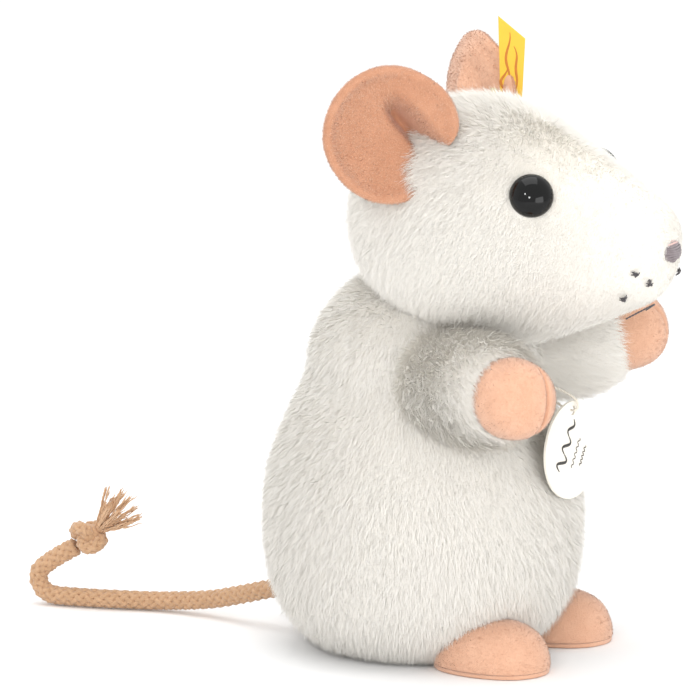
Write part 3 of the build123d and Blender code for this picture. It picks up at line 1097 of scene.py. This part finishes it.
    def nose(self) -> None:
        """Stitch the nose with level threads, the upper ones paler."""
        bm = bmesh.new()
        deep, wide, high = self.nose_radii
        rows = 11
        for i in range(rows):
            level = -0.94 + 1.88 * i / (rows - 1)
            share = math.sqrt(1.0 - level * level)
            points = []
            for k in range(13):
                a = math.pi * (k / 12 - 0.5)
                points.append(Vector((
                    NOSE[0] + deep * share * math.cos(a) - 0.25 * level * high,
                    NOSE[1] + wide * share * math.sin(a),
                    NOSE[2] + high * level + 0.12 * math.sin(3 * a + i),
                )) * MM)
            add_sweep(bm, points, [self.thread * MM * 1.1] * 13, sides=6, material=1 if level > 0.55 else 0)
        matrix = Matrix.Translation(Vector(NOSE) * MM) @ Matrix.Diagonal((*(v * MM * 0.93 for v in self.nose_radii), 1))
        bmesh.ops.create_icosphere(bm, subdivisions=3, radius=1.0, matrix=matrix)
        nose = mesh_object("nose_threads", bm, [NOSE_THREAD.build(), PINK_THREAD.build()])
        settle(nose, "head", "thread", "nose_stitches")

    def build(self) -> None:
        """Make the face."""
        self.eyes()
        self.nose()
        dark = DARK_THREAD.build()
        line = follow(self.mouth, 0.4 * MM)
        mouth = braid("mouth_thread", line, 0.11 * MM, 0.13 * MM, 2, 1.6 * MM, dark, both_ways=False)
        settle(mouth, "head", "thread", "mouth_stitches")
        bm = bmesh.new()
        rng = np.random.default_rng(8)
        for spot in self.spots:
            for side in SIDES.values():
                place = Vector(mirrored(spot, side)) * MM
                out = (place - Vector((place.x - 0.012, 0.0, 0.1003))).normalized()
                for _ in range(9):
                    way = Vector(rng.normal(size=3))
                    way = (way - out * way.dot(out)).normalized()
                    middle = place + out * 0.45 * MM + Vector(rng.normal(size=3)) * 0.22 * MM
                    ends = [middle - way * 0.75 * MM - out * 0.4 * MM, middle + out * 0.15 * MM,
                            middle + way * 0.75 * MM - out * 0.4 * MM]
                    add_sweep(bm, ends, [0.13 * MM, 0.2 * MM, 0.13 * MM], sides=5)
        settle(mesh_object("whisker_dots", bm, [dark]), "head", "thread", "whisker_spots")


# ---------------------------------------------------------------- ears, arms and feet


@dataclass
class Ear:
    """Cupped ear of two layers whose front edge rolls over a deep crease, in millimetres."""

    name: str
    centre: Point = (2.6, 28.2, 128.0)
    radius: float = 16.1
    thickness: float = 3.0
    cup: float = 4.6
    roll: float = 1.0
    rings: int = 26
    segments: int = 128

    def depth(self, front: float, up: float) -> float:
        """Return how far the ear's face stands out of its plane.

        Args:
            front: place towards the nose.
            up: place upwards.

        Returns:
            The height out of the plane.
        """
        share = math.hypot(front, up) / self.radius
        over = (front - 2.0) * 0.770 + (up - 7.0) * 0.638
        along = (front - 2.0) * 0.638 - (up - 7.0) * 0.770
        height = -self.cup * (1.0 - share * share) + 0.7 * math.exp(-((share - 0.9) / 0.08) ** 2)
        fold = 5.4 * smooth_step(over / 3.4) * smooth_step((along + 5.0) / 10.0)
        fold -= 5.2 * math.exp(-((over + 0.6) / 1.7) ** 2) * smooth_step((along + 3.0) / 9.0)
        fold -= 10.0 * smooth_step((front - 8.2) / 3.6) * smooth_step((-2.9 - up) / 1.3)
        height += fold * self.roll
        return height + 0.26 * max(0.0, -up - 2.0)

    def outside_crease_shade(self, at: np.ndarray) -> np.ndarray:
        """Tell which points of the face lie outside the deep crease, which is left bare so that its darker lining shows
        there as painted shade.
        """
        side = SIDES[self.name]
        away = at / MM - np.array(mirrored(self.centre, side))
        front = (away[:, 0] - away[:, 1] * side) * math.sqrt(0.5)
        over = (front - 2.0) * 0.770 + (away[:, 2] - 7.0) * 0.638
        along = (front - 2.0) * 0.638 - (away[:, 2] - 7.0) * 0.770
        return (over < -2.2) | (over > 1.3) | (along < 3.0)

    def leaf(self, label: str, profile: Sequence[tuple[float, float]], finish: bpy.types.Material) -> bpy.types.Object:
        """Make one layer from its middle to the rim.

        Args:
            label: the piece's name.
            profile: (radius, height above the face) points from the middle outwards.
            finish: the material.

        Returns:
            The layer.
        """
        side = SIDES[self.name]
        turn = math.radians(45.0)
        out = Vector((math.cos(turn), math.sin(turn) * side, 0.0))
        front = Vector((math.sin(turn), -math.cos(turn) * side, 0.0))
        origin = Vector(mirrored(self.centre, side))
        bm = bmesh.new()
        rings = []
        for radius, lift in profile:
            ring = []
            for k in range(self.segments if radius > 0 else 1):
                a = math.tau * k / self.segments
                tip = math.degrees(math.atan2(math.sin(a), math.cos(a))) + 13.0
                reach = radius * (1.0 - 0.13 * self.roll * (radius / self.radius) ** 4 * math.exp(-(tip / 13.0) ** 2))
                f, u = reach * math.cos(a), reach * math.sin(a)
                ring.append(bm.verts.new((origin + front * f + Vector((0, 0, u)) + out * (self.depth(f, u) + lift)) * MM))
            rings.append(ring)
        for low, high in zip(rings, rings[1:]):
            for k in range(self.segments):
                nxt = (k + 1) % self.segments
                if len(low) == 1:
                    bm.faces.new((low[0], high[k], high[nxt]))
                else:
                    bm.faces.new((low[k], high[k], high[nxt], low[nxt]))
        bmesh.ops.recalc_face_normals(bm, faces=bm.faces)
        bm.faces.ensure_lookup_table()
        facing = 1.0 if profile[0][1] >= 0 else -1.0
        if bm.faces[0].normal.dot(out) * facing < 0:
            bmesh.ops.reverse_faces(bm, faces=bm.faces)
        return mesh_object(label, bm, [finish])

    def build(self) -> None:
        """Make the ear."""
        half = self.thickness / 2
        inner = self.radius - half
        flat = [(inner * i / self.rings, 0.0) for i in range(self.rings + 1)]
        arc = [(inner + half * math.sin(a), half * math.cos(a) - half) for a in (math.pi * k / 12 for k in range(1, 12))]
        face = flat + arc[:6]
        rear = [(radius, -self.thickness) for radius, _ in flat] + arc[:4:-1]
        body = f"ear_{self.name}"
        lining = self.leaf(f"ear_face_{self.name}", face, EAR_LINING_CREASE_SHADE.build())
        settle(lining, body, "velour", f"ear_lining_{self.name}")
        backing = self.leaf(f"ear_rear_{self.name}", rear, VELOUR_SKIN.build())
        settle(backing, body, "velour", f"ear_back_{self.name}")
        for i, (skin, label) in enumerate(((lining, "face"), (backing, "rear"))):
            pile = fuzz(combed((0.2, 0.0, -1.0)), 20 + i, length=0.0007)
            # No pile in the face's crease, so that the bare dark lining there shows as painted shade.
            pile.keep = self.outside_crease_shade if label == "face" else None
            for piece in pile.grow(skin, f"ear_pile_{label}_{self.name}", body):
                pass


@dataclass
class Arm:
    """Furry sleeve and the velour paw with its sewn creases, in millimetres."""

    name: str
    sleeve: Outline = ((-3.0, 0.0), (-3.0, 9.6), (0.0, 11.2), (3.5, 11.6), (7.0, 11.8), (10.0, 12.0), (14.0, 12.1),
                       (19.0, 11.3), (22.5, 9.3), (22.8, 6.0), (22.8, 0.0))
    paw: Outline = ((16.0, 0.0), (16.0, 7.6), (19.5, 8.4), (22.6, 9.1), (26.5, 9.5), (31.0, 8.8), (34.1, 6.9),
                    (35.9, 4.2), (36.6, 1.6), (36.7, 0.0))
    pile: float = 4.6
    seam_side: float = 3.4
    seam_depth: float = 1.3

    def crease(self, bm: bmesh.types.BMesh, origin: Vector, along: Vector, across: Vector) -> None:
        """Press the sewn crease and a softer fold into the paw's end.

        Args:
            bm: the paw.
            origin: the shoulder in metres.
            along: the way the arm points.
            across: the way to the arm's inner side.
        """
        for vert in bm.verts:
            place = (vert.co - origin) / MM
            if place.dot(along) < 23.5:
                continue
            shift = place.dot(across) - 0.10 * place.z
            press = self.seam_depth * math.exp(-((shift - self.seam_side) / 0.55) ** 2)
            press += 0.55 * math.exp(-((shift + 3.6) / 1.3) ** 2)
            vert.co -= along * press * smooth_step((place.dot(along) - 23.5) / 5.0) * MM

    def build(self) -> None:
        """Make the arm."""
        side = SIDES[self.name]
        shoulder = mirrored(SHOULDER, side)
        rise = ARM_RISE[self.name]
        way = (math.cos(ARM_TURN) * math.cos(rise), math.sin(ARM_TURN) * side * math.cos(rise), math.sin(rise))
        across = Vector((math.sin(ARM_TURN), -math.cos(ARM_TURN) * side, 0.0))
        matrix = axis_matrix(shoulder, way)
        body = f"arm_{self.name}"
        sleeve = mesh_object(f"sleeve_cover_{self.name}", lathe(smooth_outline(self.sleeve, 4), matrix, 64),
                             [FUR_SKIN.build()])
        settle(sleeve, body, "fur", f"sleeve_{self.name}")
        bm = lathe(smooth_outline(self.paw, 8), matrix, 128)
        self.crease(bm, Vector(shoulder) * MM, Vector(way), across)
        paw = mesh_object(f"paw_cover_{self.name}", bm, [VELOUR_SKIN.build()])
        settle(paw, body, "velour", f"paw_{self.name}")
        along = combed((way[0], way[1], -0.35))
        under = Coat(FUR, self.pile * MM, 16.0, along, width=0.00011, lift=0.32, seed=11, bend=False)
        top = Coat(FUR, self.pile * 1.1 * MM, 5.0, along, width=0.00011, lift=0.42, untidy=0.2, swirl=0.07, seed=12)
        for coat, label in ((under, "fur"), (top, "top_fur")):
            for piece in coat.grow(sleeve, f"sleeve_{label}_{self.name}", body):
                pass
        pile = fuzz(combed((0.0, 0.0, -1.0)), 13)
        for piece in pile.grow(paw, f"paw_pile_{self.name}", body):
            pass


@dataclass
class Foot:
    """Velour foot with a flat sole, in millimetres."""

    name: str
    heel: Point = (10.0, 17.0, 2.0)
    toe_out: float = 6.0
    outline: Outline = ((0.0, 0.0), (1.5, 4.5), (6.0, 8.5), (13.0, 10.4), (20.0, 10.2), (25.4, 8.0), (28.1, 4.4),
                        (29.0, 1.6), (29.2, 0.0))
    sole: float = 1.2

    def build(self) -> None:
        """Make the foot."""
        side = SIDES[self.name]
        turn = math.radians(self.toe_out)
        matrix = axis_matrix(mirrored(self.heel, side), (math.cos(turn), math.sin(turn) * side, 0.0))
        bm = lathe(smooth_outline(self.outline, 6), matrix, 96)
        low = bm.copy()
        for form, floor, top in ((bm, self.sole + 0.05, 99.0), (low, 0.15, self.sole)):
            for vert in form.verts:
                vert.co.z = min(max(vert.co.z, floor * MM), top * MM)
            bmesh.ops.remove_doubles(form, verts=form.verts, dist=1e-6)
            bmesh.ops.recalc_face_normals(form, faces=form.faces)
        upper = mesh_object(f"foot_cover_{self.name}", bm, [VELOUR_SKIN.build()])
        settle(upper, "torso", "velour", f"foot_{self.name}")
        sole = mesh_object(f"foot_base_{self.name}", low, [VELOUR_SKIN.build()])
        settle(sole, "torso", "velour", f"foot_sole_{self.name}")
        pile = fuzz(combed((1.0, 0.0, -0.4)), 17)
        pile.keep = lambda at: at[:, 2] > 1.4 * MM
        for piece in pile.grow(upper, f"foot_pile_{self.name}", "torso"):
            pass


# ---------------------------------------------------------------- tag, flag and button


@dataclass
class Tag:
    """Paper disc with a printed wave, on its thread, in millimetres."""

    centre: Point = (38.0, -2.0, 51.0)
    turn: float = -10.0
    thickness: float = 0.6
    print_up: float = 62.0
    thread_route: tuple[Point, ...] = (
        (26.8, -1.0, 67.2), (33.0, -1.2, 65.6), (39.0, -1.6, 63.4), (39.8, -1.8, 60.6), (36.6, -1.8, 60.2),
        (33.0, -1.4, 62.6), (27.4, -1.0, 65.4),
    )

    def build(self) -> None:
        """Make the tag."""
        dress("tag_card", CARD.build(), "card")
        ink = INK.build()
        turn, lean = math.radians(self.turn), math.radians(self.print_up)
        across = Vector((-math.sin(turn), math.cos(turn), 0.0))
        face = Vector((math.cos(turn), math.sin(turn), 0.0))
        origin = Vector(self.centre) + face * (self.thickness / 2 + 0.06)

        def put(run: float, rise: float) -> Vector:
            x = run * math.cos(lean) - rise * math.sin(lean)
            y = run * math.sin(lean) + rise * math.cos(lean)
            return (origin + across * x + Vector((0, 0, y))) * MM

        bm = bmesh.new()
        wave = [(-6.6 + 13.2 * i / 60, 3.0 + 1.9 * math.sin(math.tau * 3.0 * i / 60) * (1.0 - i / 110)) for i in range(61)]
        add_sweep(bm, [put(*p) for p in wave], [0.12 * MM + 0.30 * MM * abs(math.sin(math.tau * 1.5 * i / 60))
                                                for i in range(61)], sides=6)
        for rise, start, end in ((-1.6, -4.0, 3.4), (-4.8, -2.4, 2.6)):
            points = [(start + (end - start) * i / 24, rise + 0.45 * math.sin(i * 1.3)) for i in range(25)]
            add_sweep(bm, [put(*p) for p in points], [0.14 * MM] * 25, sides=5)
        plane = origin * MM
        for vert in bm.verts:
            vert.co -= face * (vert.co - plane).dot(face) * 0.85
        settle(mesh_object("tag_print", bm, [ink]), "tag", "card")
        line = follow(self.thread_route, 0.3 * MM)
        thread = braid("tag_loop", line, 0.17 * MM, 0.19 * MM, 2, 1.8 * MM, LOOP_THREAD.build(), both_ways=False)
        settle(thread, "tag", "tag_thread", "tag_thread")


@dataclass
class Flag:
    """Folded woven ribbon on the left ear, with a plain leaf pattern, in millimetres."""

    place: Point = (13.0, 19.0, 0.0)
    turn: float = 33.5
    outline: tuple[tuple[float, float], ...] = (
        (-2.9, 149.8), (3.6, 144.2), (2.9, 130.2), (-0.4, 127.8), (-2.6, 128.2), (-2.4, 131.2),
    )
    thickness: float = 0.7

    def build(self) -> None:
        """Make the ribbon and its marks."""
        turn = math.radians(self.turn)
        across = Vector((math.cos(turn), math.sin(turn), 0.0))
        face = Vector((math.sin(turn), -math.cos(turn), 0.0))

        def put(x: float, z: float, lift: float) -> Vector:
            return (Vector(self.place) + across * x + Vector((0, 0, z)) + face * lift) * MM

        bm = bmesh.new()
        uv = bm.loops.layers.uv.new("UVMap")
        low = [bm.verts.new(put(x, z, -self.thickness / 2)) for x, z in self.outline]
        high = [bm.verts.new(put(x, z, self.thickness / 2)) for x, z in self.outline]
        faces = [bm.faces.new(low[::-1]), bm.faces.new(high)]
        for k in range(len(low)):
            nxt = (k + 1) % len(low)
            faces.append(bm.faces.new((low[k], low[nxt], high[nxt], high[k])))
        bmesh.ops.bevel(bm, geom=list(bm.edges), offset=0.12 * MM, segments=2, affect="EDGES", profile=0.5, material=-1)
        bmesh.ops.triangulate(bm, faces=bm.faces)
        bmesh.ops.recalc_face_normals(bm, faces=bm.faces)
        origin = Vector(self.place) * MM
        for face_ in bm.faces:
            for loop in face_.loops:
                away = loop.vert.co - origin
                loop[uv].uv = (away.dot(across) / 0.02, away.z / 0.02)
        ribbon = mesh_object("ear_ribbon", bm, [RIBBON.build()])
        ribbon.data.polygons.foreach_set("use_smooth", [False] * len(ribbon.data.polygons))
        settle(ribbon, "ear_left", "ribbon", "ear_flag")
        marks = bmesh.new()
        for lift in (self.thickness / 2, -self.thickness / 2):
            for base, top, sway in ((131.0, 142.5, 1.1), (133.0, 145.8, -0.5), (130.2, 137.4, -1.3)):
                points = []
                for i in range(21):
                    t = i / 20
                    x = sway * 0.6 + sway * math.sin(math.pi * t) * 0.9 + 0.35 * math.sin(9.0 * t)
                    points.append(put(x, base + (top - base) * t, lift))
                add_sweep(marks, points, [(0.10 + 0.26 * math.sin(math.pi * i / 20)) * MM for i in range(21)], sides=6)
        for vert in marks.verts:
            off = (vert.co - origin).dot(face)
            shown = math.copysign(self.thickness / 2 * MM, off)
            vert.co += face * (shown - off) * 0.8
        settle(mesh_object("ribbon_leaves", marks, [RIBBON_MARK.build()]), "ear_left", "ribbon")


def inner_pieces() -> None:
    """Dress the pieces that the covers hide, and the button."""
    filling = FILLING.build()
    names = ["body_stuffing"]
    for side in SIDES:
        names += [f"{part}_stuffing_{side}" for part in ("head", "sleeve", "paw", "foot")]
        dress(f"eye_washer_{side}", WASHER.build(), "washer")
    for name in names:
        dress(name, filling, "filling")
    dress("pellet_bag", PELLETS.build(), "pellets")
    dress("neck_lining", LINING.build(), "lining")
    dress("tail_anchor", CORD_YARN.build(), "cord")
    dress("ear_button", BRASS.build(), "button")


def main() -> None:
    """Build the studio and every piece of the mouse."""
    logging.basicConfig(level=logging.INFO, format="%(message)s")
    Studio().build()
    Tail().build()
    Body().build()
    Head().build()
    Face().build()
    for name, roll in (("left", 0.4), ("right", 1.0)):
        Ear(name, roll=roll).build()
        Arm(name).build()
        Foot(name).build()
    Tag().build()
    Flag().build()
    inner_pieces()


if __name__ == "__main__":
    main()
